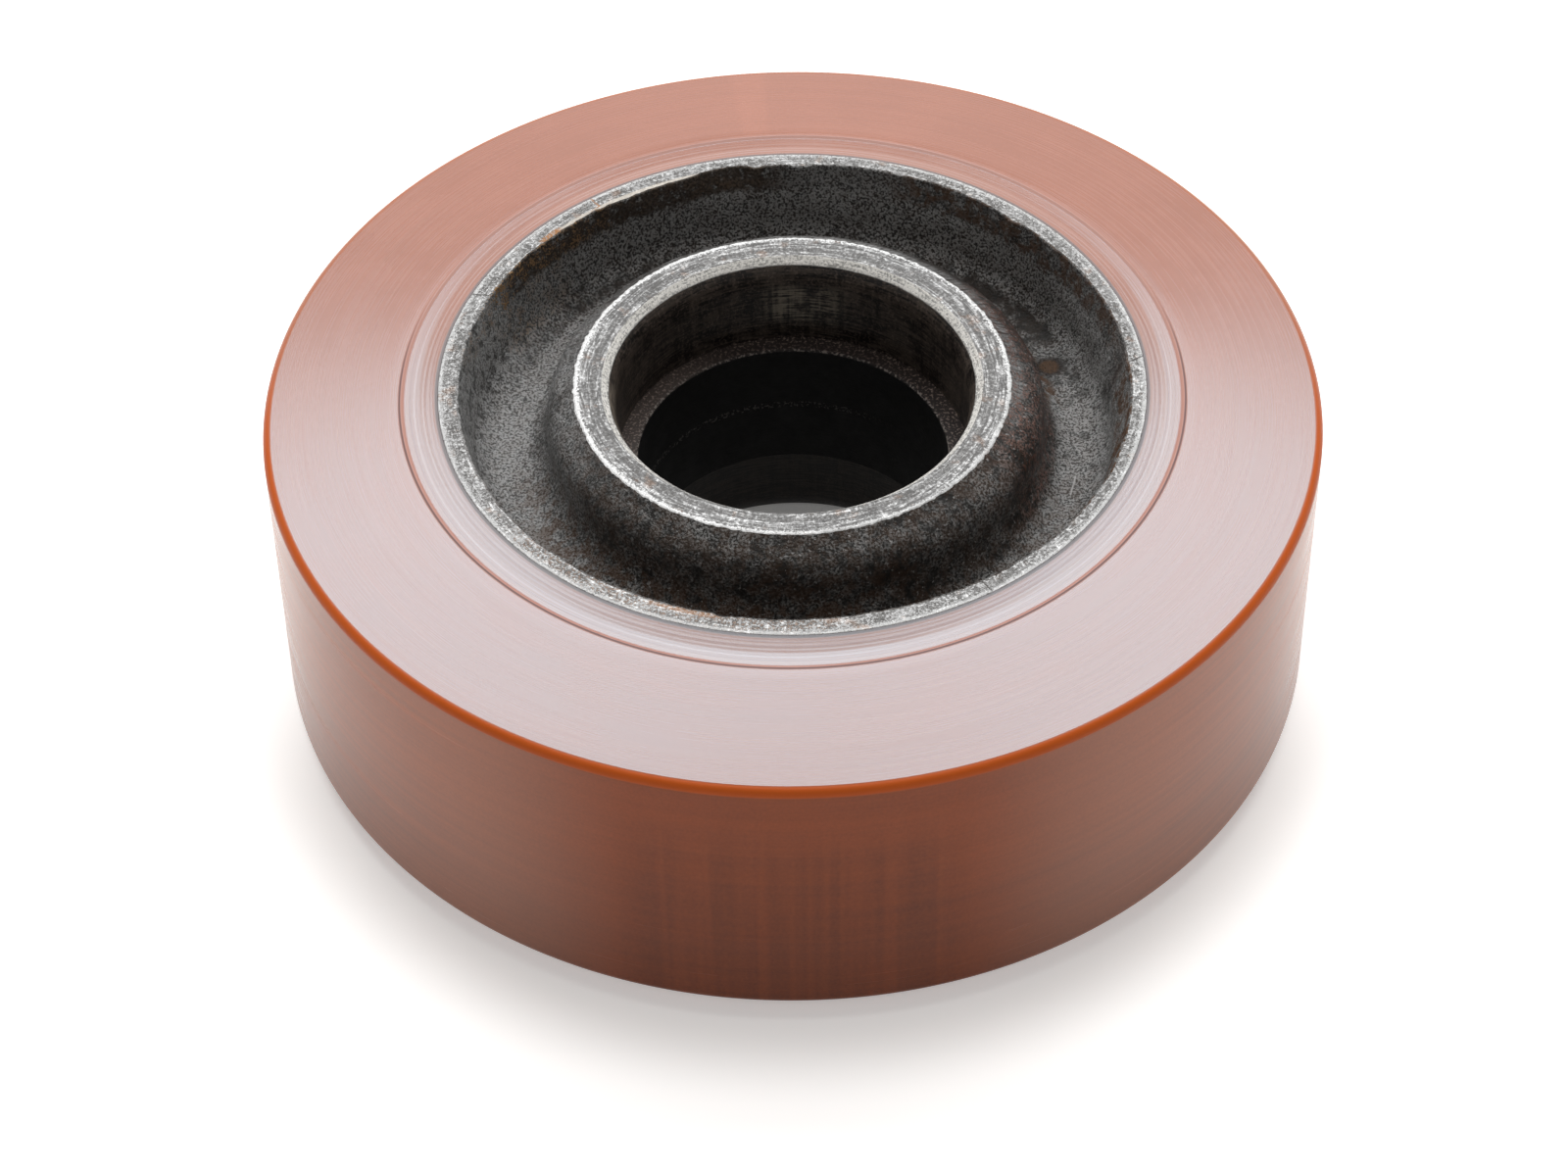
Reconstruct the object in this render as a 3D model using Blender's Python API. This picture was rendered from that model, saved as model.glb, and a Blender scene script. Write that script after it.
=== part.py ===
"""Polyurethane wheel: a cast iron hub with a bonded and turned polyurethane tyre.

The wheel lies flat. Its axis is +Z and its centre is the origin. Both pieces are turned
profiles, alike above and below the middle plane. All sizes are in metres.
"""

import math

import bmesh
import bpy

# Hub: widths and diameters of the turned faces
HUB_WIDTH = 0.047
RIM_DIAMETER = 0.0934
RIM_LAND = 0.0026
BOSS_FACE_DIAMETER = 0.0574

# Hub: bore with a bearing seat at each end
SEAT_DIAMETER = 0.047
SEAT_DEPTH = 0.0135
SHOULDER_DIAMETER = 0.0416
LEAD_IN_DEPTH = 0.0028
LEAD_IN_RISE = 0.0007
MOUTH_CHAMFER = 0.001

# Hub: cast skin of the boss and of the pocket round it
BOSS_DIAMETER = 0.0656
BOSS_SHOULDER_DROP = 0.0028
BOSS_KNEE_RADIUS = 0.0045
BOSS_FILLET = 0.0042
BOSS_DRAFT = math.radians(4)
POCKET_DEPTH = 0.0115
RIM_FILLET = 0.004
RIM_DRAFT = math.radians(12)

# Tread: the polyurethane tyre
TREAD_DIAMETER = 0.140
TREAD_WIDTH = 0.040
TREAD_CORNER_RADIUS = 0.0011

# Tread: turned band in its side face, next to the iron
BAND_SLOPE_WIDTH = 0.0024
BAND_SLOPE_DROP = 0.0006
BAND_FLAT_WIDTH = 0.0022
BAND_STEP = 0.00018
EDGE_SET_BACK = 0.0001

# Clearance that keeps the tyre and the rim it is bonded to as separate solids
BOND_GAP = 0.0003

# Facets, and the most of a straight leg that one fillet may take up
HUB_FACETS = 72
TREAD_FACETS = 96
ARC_STEP = math.radians(13)
NEARLY_STRAIGHT = math.radians(1)
LEG_SHARE = 0.49
SHARP_ANGLE = math.radians(32)

# Colours, in linear light
IRON_COLOUR = (0.12, 0.115, 0.11)
POLYURETHANE_COLOUR = (0.42, 0.135, 0.075)


def rounded(corners):
    """Turn (radius, height, fillet) corners into points, with an arc at each fillet."""
    points = [corners[0][:2]]
    for before, corner, after in zip(corners, corners[1:], corners[2:]):
        points.extend(fillet_arc(before, corner, after))
    points.append(corners[-1][:2])
    return points


def fillet_arc(before, corner, after):
    """Return the arc that rounds one corner, or the corner itself where it stays sharp."""
    r, z, fillet = corner
    to_before = (before[0] - r, before[1] - z)
    to_after = (after[0] - r, after[1] - z)
    length_before = math.hypot(*to_before)
    length_after = math.hypot(*to_after)
    cosine = (to_before[0] * to_after[0] + to_before[1] * to_after[1]) / (length_before * length_after)
    opening = math.acos(max(-1.0, min(1.0, cosine)))
    turn = math.pi - opening
    if fillet <= 0 or turn < NEARLY_STRAIGHT:
        return [(r, z)]
    tangent = fillet * math.tan(turn / 2)
    longest = LEG_SHARE * min(length_before, length_after)
    if tangent > longest:
        fillet *= longest / tangent
        tangent = longest
    start = math.atan2(to_before[1], to_before[0])
    end = math.atan2(to_after[1], to_after[0])
    swing = (end - start + math.pi) % (2 * math.pi) - math.pi
    middle = start + swing / 2
    reach = math.hypot(fillet, tangent)
    centre = (r + reach * math.cos(middle), z + reach * math.sin(middle))
    steps = max(2, math.ceil(turn / ARC_STEP))
    arc = []
    for step in range(steps + 1):
        angle = middle + math.pi - math.copysign(turn, swing) * (0.5 - step / steps)
        arc.append((centre[0] + fillet * math.cos(angle), centre[1] + fillet * math.sin(angle)))
    if math.dist(arc[0], before[:2]) > math.dist(arc[-1], before[:2]):
        arc.reverse()
    return arc


def mirrored(upper):
    """Close an upper half profile, which starts and ends on the middle plane, into a loop."""
    lower = [(r, -z) for r, z in reversed(upper[1:-1])]
    return upper + lower


def turned(name, profile, facets, material):
    """Spin a closed profile about +Z into one closed solid."""
    bm = bmesh.new()
    verts = [bm.verts.new((r, 0, z)) for r, z in profile]
    edges = [bm.edges.new(pair) for pair in zip(verts, verts[1:] + verts[:1])]
    bmesh.ops.spin(
        bm, geom=verts + edges, cent=(0, 0, 0), axis=(0, 0, 1),
        angle=2 * math.pi, steps=facets, use_merge=True, use_duplicate=False,
    )
    bmesh.ops.recalc_face_normals(bm, faces=bm.faces)
    mesh = bpy.data.meshes.new(name)
    bm.to_mesh(mesh)
    bm.free()
    mesh.shade_smooth()
    mesh.set_sharp_from_angle(angle=SHARP_ANGLE)
    mesh.materials.append(material)
    piece = bpy.data.objects.new(name, mesh)
    bpy.context.scene.collection.objects.link(piece)
    return piece


def plain_material(name, colour, roughness, metallic):
    """Make a Principled material of one colour."""
    material = bpy.data.materials.new(name)
    material.use_nodes = True
    shader = material.node_tree.nodes["Principled BSDF"]
    shader.inputs["Base Color"].default_value = (*colour, 1)
    shader.inputs["Roughness"].default_value = roughness
    shader.inputs["Metallic"].default_value = metallic
    material.diffuse_color = (*colour, 1)
    return material


def hub_profile():
    """Upper half of the hub: up the bore, over the boss, through the pocket, down the rim."""
    face = HUB_WIDTH / 2
    shoulder = SHOULDER_DIAMETER / 2
    seat = SEAT_DIAMETER / 2
    seat_floor = face - SEAT_DEPTH
    mouth = seat + LEAD_IN_RISE
    boss_face = BOSS_FACE_DIAMETER / 2
    boss = BOSS_DIAMETER / 2
    knee = face - BOSS_SHOULDER_DROP
    web = face - POCKET_DEPTH
    boss_foot = boss + (knee - web) * math.tan(BOSS_DRAFT)
    rim = RIM_DIAMETER / 2
    pocket_edge = rim - RIM_LAND
    rim_foot = pocket_edge - POCKET_DEPTH * math.tan(RIM_DRAFT)
    return rounded([
        (shoulder, 0, 0),
        (shoulder, seat_floor, 0),
        (seat, seat_floor, 0),
        (seat, face - LEAD_IN_DEPTH, 0),
        (mouth, face - MOUTH_CHAMFER, 0),
        (mouth + MOUTH_CHAMFER, face, 0),
        (boss_face, face, 0),
        (boss, knee, BOSS_KNEE_RADIUS),
        (boss_foot, web, BOSS_FILLET),
        (rim_foot, web, RIM_FILLET),
        (pocket_edge, face, 0),
        (rim, face, 0),
        (rim, 0, 0),
    ])


def tread_profile():
    """Upper half of the tyre: up the bond, over the side face, down the rolling surface."""
    bond = RIM_DIAMETER / 2 + BOND_GAP
    outer = TREAD_DIAMETER / 2
    edge = HUB_WIDTH / 2 - EDGE_SET_BACK
    band = edge - BAND_SLOPE_DROP
    slope_end = bond + BAND_SLOPE_WIDTH
    flat_end = slope_end + BAND_FLAT_WIDTH
    return rounded([
        (bond, 0, 0),
        (bond, edge, 0),
        (slope_end, band, 0),
        (flat_end, band, 0),
        (flat_end, band + BAND_STEP, 0),
        (outer, TREAD_WIDTH / 2, TREAD_CORNER_RADIUS),
        (outer, 0, 0),
    ])


def make_hub():
    """The casting, with its bearing seats, boss, pockets and rim."""
    iron = plain_material("cast_iron", IRON_COLOUR, roughness=0.5, metallic=0.85)
    return turned("hub", mirrored(hub_profile()), HUB_FACETS, iron)


def make_tread():
    """The tyre, bonded round the rim over the hub's full width."""
    polyurethane = plain_material("polyurethane", POLYURETHANE_COLOUR, roughness=0.35, metallic=0.0)
    return turned("tread", mirrored(tread_profile()), TREAD_FACETS, polyurethane)


def main():
    for leftover in list(bpy.data.objects):
        bpy.data.objects.remove(leftover, do_unlink=True)
    make_hub()
    make_tread()


main()
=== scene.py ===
"""Looks of the polyurethane wheel: dressed hub casting, dressed tyre, floor, lights and camera.

All sizes are in metres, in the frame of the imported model. The wheel's axis is +Z, its centre
is the origin, and the camera stands on the -Y side.
"""

import math

import bpy
from bpy.props import FloatProperty, FloatVectorProperty, IntProperty, PointerProperty
from bpy.types import Operator, Panel, PropertyGroup
from mathutils import Euler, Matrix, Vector, noise


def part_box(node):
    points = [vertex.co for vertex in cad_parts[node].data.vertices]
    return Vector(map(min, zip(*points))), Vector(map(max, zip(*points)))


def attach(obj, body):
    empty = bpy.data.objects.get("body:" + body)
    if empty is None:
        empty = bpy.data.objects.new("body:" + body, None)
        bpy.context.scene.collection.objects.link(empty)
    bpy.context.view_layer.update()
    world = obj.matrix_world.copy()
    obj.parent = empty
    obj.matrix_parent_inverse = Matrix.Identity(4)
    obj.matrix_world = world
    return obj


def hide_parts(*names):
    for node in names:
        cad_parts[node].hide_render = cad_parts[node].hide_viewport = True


bl_info = {
    "name": "Polyurethane wheel",
    "version": (1, 0, 0),
    "blender": (4, 5, 0),
    "location": "3D View > Sidebar > Wheel",
    "description": "Dresses a packed polyurethane wheel with a cast iron hub",
    "category": "Object",
}

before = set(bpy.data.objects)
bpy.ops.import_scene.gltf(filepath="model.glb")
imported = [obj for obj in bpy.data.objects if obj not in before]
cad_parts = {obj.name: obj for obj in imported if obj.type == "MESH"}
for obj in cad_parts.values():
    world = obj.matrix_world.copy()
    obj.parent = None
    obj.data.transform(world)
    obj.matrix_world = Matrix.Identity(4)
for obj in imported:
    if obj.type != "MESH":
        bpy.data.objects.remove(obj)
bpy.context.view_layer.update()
HUB_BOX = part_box("hub")
TYRE_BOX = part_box("tread")

MM = 0.001

# Distance from the end of a fillet to the extra points that keep the leg beside it flat
FLAT_BEGINS = 0.00012

# Mouth of the bore: depth and opening of the lead-in, and the chamfer above it
LEAD_IN_DEPTH = 0.0028
LEAD_IN_RISE = 0.0007
MOUTH_CHAMFER = 0.001

# Chamfer on the inner edge of the bearing shoulder, and half the strip on the middle plane
SHOULDER_CHAMFER = 0.0003
MIDDLE_STRIP = 0.0004

# Drafts of the cast walls
BOSS_DRAFT = math.radians(4)
RIM_DRAFT = math.radians(12)

# Rounds on the turned edges: mouth of the bore, boss, and both edges of the rim face
MOUTH_ROUND = 0.0003
BOSS_ROUND = 0.0004
RIM_ROUND = 0.0002

# Clearance that keeps the dressed tyre off the dressed rim
BOND_CLEARANCE = 0.00002

# Outer end of the tyre's band: how far its flat falls outwards, how far the rise beyond it
# reaches to each side, and the narrow ledge at either end of that rise
FLAT_FALL = 0.00018
RISE_REACH = 0.0002
RISE_LEDGE = 0.0001

# Lumps and nicks along the pocket's upper edge: azimuth and half width in degrees, and how
# far each reaches towards the axis in mm (below zero: away from it)
EDGE_LUMPS = (
    (-90, 34, 0.15),
    (-12, 42, -0.45),
    (46.3, 1.2, 0.35),
    (70, 16, -0.35),
    (88, 1.6, 0.30),
    (96, 1.0, 0.35),
    (102, 5, -0.45),
    (124, 15, 0.35),
    (200, 50, 0.1),
    (258, 1.0, -0.35),
)

# How far the lumps are felt: down the pocket's wall, inwards and outwards from its edge
LUMPS_DOWN = 0.006
LUMPS_IN = 0.004
LUMPS_OUT = 0.0022

# Ripple along that edge and along the boss's turned edge: noise scale on a circle of radius
# one, and height in mm
POCKET_RIPPLE = ((7, 0.20), (24, 0.14), (70, 0.12), (190, 0.09))
BOSS_RIPPLE = ((30, 0.16), (90, 0.16), (200, 0.16))

# Waves of the cast skin: noise scale per mm, and share of the skin's relief
SKIN_WAVES = ((0.13, 1.0), (0.33, 0.5), (0.8, 0.35))

# Radius in the web where the shift of the cast boss has faded out
WEB_MIDDLE = 0.038

# Hairline cracks in the rim face: start and end in mm
RIM_CRACKS = (
    ((44.3, 2.6), (46.5, 3.9)),
    ((-40.4, 17.6), (-42.9, 18.0)),
    ((23.4, -37.6), (24.6, -39.3)),
)

# Rust strokes on the rim face: start and end in mm, and strength
RUST_STROKES = (
    ((-26.3, 36.0), (-27.5, 37.6), 0.7),
    ((-27.2, 35.0), (-26.3, 36.0), 0.6),
)

# Radii in the tyre's band of its grooves, darkened with painted shade, and of its ridges, paled with
# painted highlights, in mm
BAND_GROOVES = (47.7, 48.3, 49.5, 50.42, 51.15)
BAND_RIDGES = (47.95, 48.65, 49.85, 51.62)

# Pits in the web, on its right: centre and radius in mm
WEB_PITS = (
    (39.1, 0.7, 0.5),
    (38.3, 11.8, 0.6),
    (39.2, 8.7, 0.7),
    (37.2, 7.2, 0.4),
    (39.6, -5.5, 0.4),
)

# Centre of the brown spot in the web, in mm
BROWN_SPOT = (35.0, 14.6)


# Settings shown in the sidebar


def length(name, description, default):
    """A size in metres, shown with its unit."""
    return FloatProperty(
        name=name, description=description, default=default, min=0, unit="LENGTH", precision=5
    )


def colour(name, description, default):
    """A colour in linear light."""
    return FloatVectorProperty(
        name=name, description=description, default=default, size=3, min=0, max=1, subtype="COLOR"
    )


def share(name, description, default):
    """A number from 0 to 1."""
    return FloatProperty(
        name=name, description=description, default=default, min=0, max=1, subtype="FACTOR"
    )


def brightness(name, description, default):
    """Radiance of a light."""
    return FloatProperty(name=name, description=description, default=default, min=0)


class HubSettings(PropertyGroup):
    """Sizes and colours of the iron casting."""

    width: length("Width", "From one turned face to the other", HUB_BOX[1].z - HUB_BOX[0].z)
    rim_diameter: length(
        "Rim diameter", "Outside of the rim, where the tyre is bonded", HUB_BOX[1].x - HUB_BOX[0].x
    )
    rim_land: length("Rim face", "Width of the turned face of the rim", 0.0026)
    boss_face_diameter: length("Boss face diameter", "Outside of the turned ring round the bore", 0.0574)
    boss_diameter: length("Boss diameter", "Cast outside of the boss", 0.0656)
    boss_shoulder_drop: length(
        "Boss shoulder", "Height of the slope between the boss face and its side", 0.0028
    )
    boss_knee: length("Boss knee", "Radius between the slope and the side of the boss", 0.0045)
    boss_shift: length("Boss shift", "How far the cast boss stands off the axis, towards +X", 0.0005)
    boss_fillet: length("Boss fillet", "Radius at the foot of the boss", 0.0042)
    rim_fillet: length("Rim fillet", "Radius at the foot of the rim", 0.004)
    seat_diameter: length("Seat diameter", "Bore that takes a bearing", 0.047)
    seat_depth: length("Seat depth", "From the boss face down to the bearing shoulder", 0.0135)
    shoulder_diameter: length("Shoulder bore", "Narrow bore between the two bearing seats", 0.0416)
    pocket_depth: length("Pocket depth", "From the rim face down to the web", 0.0115)
    skin_relief: length("Skin relief", "Height of the waves in the cast skin", 0.00016)
    facets: IntProperty(name="Facets", description="Steps round the hub", default=448, min=72, max=640)
    iron: colour("Turned iron", "Fresh metal of the turned faces", (0.31, 0.305, 0.30))
    tarnish: colour("Tarnish", "Dull spots on the turned faces", (0.10, 0.094, 0.088))
    skin: colour("Cast skin", "Raised grains of the raw casting", (0.30, 0.295, 0.287))
    skin_dark: colour("Cast skin, deep", "Pits and oiled parts of the cast skin", (0.020, 0.018, 0.016))
    rust: colour("Rust", "Rust on the cast skin", (0.090, 0.046, 0.024))
    bore: colour("Bore", "Oxide on the walls of the bore", (0.010, 0.008, 0.007))


class TyreSettings(PropertyGroup):
    """Sizes and colours of the tyre."""

    diameter: length("Diameter", "Rolling surface", TYRE_BOX[1].x - TYRE_BOX[0].x)
    width: length("Width", "Rolling surface, from corner to corner", 0.040)
    corner_radius: length("Corner radius", "Round between the side face and the rolling surface", 0.0011)
    slope_width: length("Slope width", "Sloping part of the turned band by the rim", 0.0024)
    flat_width: length("Flat width", "Flat part of the turned band by the rim", 0.0022)
    slope_drop: length("Slope drop", "Fall of the sloping part of the band", 0.0006)
    step: length("Step", "Height of the edge where the band ends", 0.000045)
    ridge_pitch: length("Ridge pitch", "Feed of the tool that cut the band", 0.0006)
    ridge_height: length("Ridge height", "Depth of the tool marks in the band", 0.00002)
    facets: IntProperty(name="Facets", description="Steps round the tyre", default=720, min=96, max=900)
    body: colour("Rolling surface", "Polyurethane of the rolling surface", (0.40, 0.083, 0.018))
    side: colour("Turned side", "Polyurethane of the turned side faces", (0.53, 0.195, 0.112))
    # Also painted sheen: this colour pales the side face everywhere but at the back.
    dust: colour("Band, dust", "Pale dust held by the fine grooves of the band", (0.52, 0.35, 0.29))
    # Also painted light: this colour pales the rolling surface everywhere but at the front.
    tread_dust: colour("Rolling surface, dust", "Pale dust on the rolling surface", (0.50, 0.45, 0.385))
    corner: colour("Corner", "Light that comes through the thin corner", (0.62, 0.11, 0.012))


class StageSettings(PropertyGroup):
    """Floor, lights and camera."""

    floor: colour("Floor", "Colour of the floor", (0.92, 0.905, 0.87))
    softbox: brightness("Softbox", "Brightness of the softbox behind the wheel", 4.0)
    overhead: brightness("Overhead", "Brightness of the light above the wheel", 1.6)
    ambient: share("Ambient", "Light from all round on matt surfaces", 0.22)
    floor_lift: share("Floor lift", "Light of the floor itself, for the camera and reflections only", 0.65)
    lens: FloatProperty(name="Lens", description="Focal length in mm", default=97.0, min=10)
    camera_place: FloatVectorProperty(
        name="Camera place", description="Where the camera stands", default=(0, -0.41122, 0.40013),
        size=3, subtype="TRANSLATION", unit="LENGTH",
    )
    camera_turn: FloatVectorProperty(
        name="Camera turn", description="Rotation of the camera",
        default=tuple(math.radians(angle) for angle in (44.697, 0.622, -0.421)),
        size=3, subtype="EULER",
    )


# Finishes


class Signal:
    """One socket in a finish. Sums written on signals add the Math nodes that work them out."""

    def __init__(self, finish, socket):
        self.finish = finish
        self.socket = socket

    def math(self, operation, *terms):
        return self.finish.add("ShaderNodeMath", {"operation": operation}, dict(enumerate(terms)))

    def __add__(self, other):
        return self.math("ADD", self, other)

    __radd__ = __add__

    def __sub__(self, other):
        return self.math("SUBTRACT", self, other)

    def __rsub__(self, other):
        return self.math("SUBTRACT", other, self)

    def __mul__(self, other):
        return self.math("MULTIPLY", self, other)

    __rmul__ = __mul__

    def __truediv__(self, other):
        return self.math("DIVIDE", self, other)

    def __rtruediv__(self, other):
        return self.math("DIVIDE", other, self)

    def __pow__(self, other):
        return self.math("POWER", self, other)

    def __abs__(self):
        return self.math("ABSOLUTE", self)

    def greater_of(self, other):
        return self.math("MAXIMUM", self, other)

    def lesser_of(self, other):
        return self.math("MINIMUM", self, other)

    def ramp(self, low, high, start=0.0, end=1.0):
        """Rise smoothly from start at low to end at high, and stay there."""
        return self.finish.add(
            "ShaderNodeMapRange",
            {"interpolation_type": "SMOOTHSTEP"},
            {"Value": self, "From Min": low, "From Max": high, "To Min": start, "To Max": end},
        )

    def band(self, centre, half_width, softness):
        """1 within half_width of centre, and 0 beyond softness more."""
        return abs(self - centre).ramp(half_width, half_width + softness, 1.0, 0.0)


class Finish:
    """A node tree under construction."""

    def __init__(self, tree):
        self.tree = tree

    def add(self, kind, settings=None, sockets=None, result=None):
        """Add a node: its settings first, then its sockets' values or links. Returns its result."""
        node = self.tree.nodes.new(kind)
        for name, value in (settings or {}).items():
            setattr(node, name, value)
        for key, value in (sockets or {}).items():
            socket = self.socket_of(node.inputs, key)
            if isinstance(value, Signal):
                self.tree.links.new(value.socket, socket)
            else:
                socket.default_value = value
        return Signal(self, self.socket_of(node.outputs, 0 if result is None else result))

    @staticmethod
    def socket_of(sockets, key):
        """The socket in use with this name, or the one in use with this number."""
        used = [socket for socket in sockets if socket.enabled]
        if isinstance(key, int):
            return used[key]
        return next(socket for socket in used if socket.name == key)

    def scaled(self, vector, factor):
        return self.add("ShaderNodeVectorMath", {"operation": "SCALE"}, {"Vector": vector, "Scale": factor})

    def parts(self, vector):
        return [self.add("ShaderNodeSeparateXYZ", None, {"Vector": vector}, axis) for axis in "XYZ"]

    def joined(self, x, y, z):
        return self.add("ShaderNodeCombineXYZ", None, {"X": x, "Y": y, "Z": z})

    def blend(self, mask, first, second):
        """The first colour where the mask is 0, and the second where it is 1."""
        return self.add("ShaderNodeMix", {"data_type": "RGBA"}, {"Factor": mask, "A": first, "B": second})

    def grain(self, vector, scale, detail=2.0, roughness=0.5):
        """Noise from 0 to 1, with features about 1 / scale apart."""
        return self.add(
            "ShaderNodeTexNoise", None,
            {"Vector": vector, "Scale": scale, "Detail": detail, "Roughness": roughness}, "Fac",
        )

    def relief(self, height, depth, strength=1.0, under=None):
        """Normal of a surface whose height differs by depth where the signal goes from 0 to 1."""
        sockets = {"Strength": strength, "Distance": depth, "Height": height}
        if under is not None:
            sockets["Normal"] = under
        return self.add("ShaderNodeBump", None, sockets)

    def seen(self):
        """1 for what the camera sees, itself or in a gloss or clear surface, and 0 for light."""
        signal = self.add("ShaderNodeLightPath", None, None, "Is Camera Ray")
        outputs = signal.socket.node.outputs
        for name in ("Is Glossy Ray", "Is Transmission Ray"):
            signal = signal.greater_of(Signal(self, outputs[name]))
        return signal


class SurfaceFinish(Finish):
    """A material of one Principled surface, with the wheel's own coordinates in mm at hand.

    Places in the finishes below are radii and heights in mm, and azimuths in degrees.
    """

    def __init__(self, name, constants):
        self.material = bpy.data.materials.new(name)
        self.material.use_nodes = True
        super().__init__(self.material.node_tree)
        self.surface = self.tree.nodes["Principled BSDF"]
        for socket, value in constants.items():
            self.surface.inputs[socket].default_value = value
        place = self.add("ShaderNodeTexCoord", None, None, "Object")
        self.place = self.scaled(place, 1 / MM)
        self.x, self.y, self.z = self.parts(self.place)
        self.radius = (self.x * self.x + self.y * self.y) ** 0.5
        self.height = abs(self.z)
        self.round_x = self.x / self.radius
        self.round_y = self.y / self.radius

    def feed(self, **signals):
        """Join signals to the surface: colour, roughness, metallic, normal."""
        names = {
            "colour": "Base Color", "roughness": "Roughness", "metallic": "Metallic", "normal": "Normal"
        }
        for key, signal in signals.items():
            self.tree.links.new(signal.socket, self.surface.inputs[names[key]])
        return self.material

    def toward(self, azimuth, half_width, softness):
        """1 within half_width degrees of an azimuth, and 0 beyond softness more."""
        angle = math.radians(azimuth)
        cosine = self.round_x * math.cos(angle) + self.round_y * math.sin(angle)
        inner = math.cos(math.radians(half_width))
        outer = math.cos(math.radians(min(180, half_width + softness)))
        return cosine.ramp(outer, inner)

    def lathe_lines(self, along, across):
        """Coordinates for noise drawn out round the axis: along per radian, across per mm."""
        return self.joined(self.round_x * along, self.round_y * along, (self.radius + self.z) * across)

    def spot(self, x, y, radius, softness):
        """1 in a round patch on the upper side of the wheel, and 0 beyond softness more."""
        across, along = self.x - x, self.y - y
        away = (across * across + along * along) ** 0.5
        return away.ramp(radius, radius + softness, 1.0, 0.0) * self.z.ramp(-1, 1)

    def stroke(self, start, end, width):
        """1 along a thin straight line on the upper side of the wheel."""
        way = Vector(end) - Vector(start)
        run = way.normalized()
        across, along = self.x - start[0], self.y - start[1]
        beside = abs(along * run.x - across * run.y)
        ahead = across * run.x + along * run.y
        on_line = beside.ramp(width / 2, width, 1.0, 0.0)
        return on_line * ahead.band(way.length / 2, way.length / 2, 0.3) * self.z.ramp(-1, 1)


def tyre_side_finish(tyre):
    """Turned side face: pale red-brown with tool lines, and a cool sheen where it mirrors light; painted
    sheen, highlights, shade and shadows in its band.
    """
    side = SurfaceFinish(
        "polyurethane_side", {"IOR": 2.1, "Specular Tint": (0.57, 0.87, 1.0, 1.0), "Anisotropic": 0.3}
    )
    fine = side.grain(side.lathe_lines(2.0, 4.0), 1.0, 3.0, 0.6)
    broad = side.grain(side.lathe_lines(1.4, 0.8), 1.0, 2.0, 0.5)
    clouds = side.grain(side.place, 0.09, 3.0, 0.55)
    band = side.radius.ramp(51.45, 51.6, 1.0, 0.0)
    behind = side.toward(90, 65, 25)
    # Painted shadow: a dark line in the step at the band's outer end, left off on the back side.
    painted_step_shadow = side.radius.band(51.78, 0.05, 0.14) * (1 - behind)
    glow = side.radius.band(51.45, 0.2, 0.25) * (1 - behind)
    # Painted shadow: a dark grey line on the tyre where it meets the raised rim. The same strip is also
    # made rougher.
    painted_joint_shadow = side.radius.ramp(46.95, 47.25, 1.0, 0.0)
    threads = side.grain(side.lathe_lines(0.5, 3.0), 1.0, 2.0, 0.6).ramp(0.40, 0.60)
    grooves = sum((side.radius.band(r, 0.05, 0.12) for r in BAND_GROOVES), 0) * (1 - 0.8 * behind)
    # Painted sheen: a narrow lighter strip along a radius at about 95°, where the turned face mirrors the
    # softbox.
    painted_sheen_wedge = side.toward(95, 1.0, 1.5) * side.radius.ramp(51.8, 53)

    tone = 1 + 0.12 * (fine - 0.5) + 0.10 * (broad - 0.5) + 0.12 * (clouds - 0.5) + 0.06 * painted_sheen_wedge
    # Dust in the band's fine grooves, less on the back side, and painted sheen that pales the whole side
    # face except at the back.
    dust_and_painted_light = band * (0.1 + 0.5 * fine) * (1 - 0.5 * behind) + 0.10 * (1 - behind)
    base = side.blend(dust_and_painted_light, (*tyre.side, 1), (*tyre.dust, 1))
    base = side.scaled(base, tone)
    # Painted shade: the band's grooves and tool marks darker, less so on the back side.
    painted_groove_shade = grooves * 0.36 + band * (1 - threads) * (0.26 - 0.1 * behind)
    base = side.blend(painted_groove_shade.lesser_of(1), base, (0.36, 0.12, 0.075, 1))
    # Painted highlights: paler lines on the band's ridges, a little weaker on the back side.
    painted_ridge_highlights = sum((side.radius.band(r, 0.04, 0.12) for r in BAND_RIDGES), 0) * (0.30 - 0.06 * behind)
    base = side.blend(painted_ridge_highlights * fine.ramp(0.35, 0.5, 0.5, 1.0), base, (0.86, 0.68, 0.65, 1))
    base = side.blend(glow * 0.5, base, (0.60, 0.20, 0.11, 1))
    base = side.blend(painted_step_shadow * 0.9, base, (0.14, 0.03, 0.012, 1))
    base = side.blend(painted_joint_shadow * 0.75, base, (0.14, 0.115, 0.11, 1))

    roughness = 0.27 + 0.14 * (fine - 0.5) + 0.06 * (clouds - 0.5)
    roughness = roughness + 0.45 * side.radius.band(51.6, 0.3, 0.2) + 0.3 * painted_joint_shadow
    lines = side.grain(side.lathe_lines(3.0, 7.0), 1.0, 2.0, 0.6)
    normal = side.relief(lines, 0.008 * MM, 0.3)
    normal = side.relief(fine, 0.014 * MM, 0.25, normal)
    return side.feed(colour=base, roughness=roughness, normal=normal)


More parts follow.
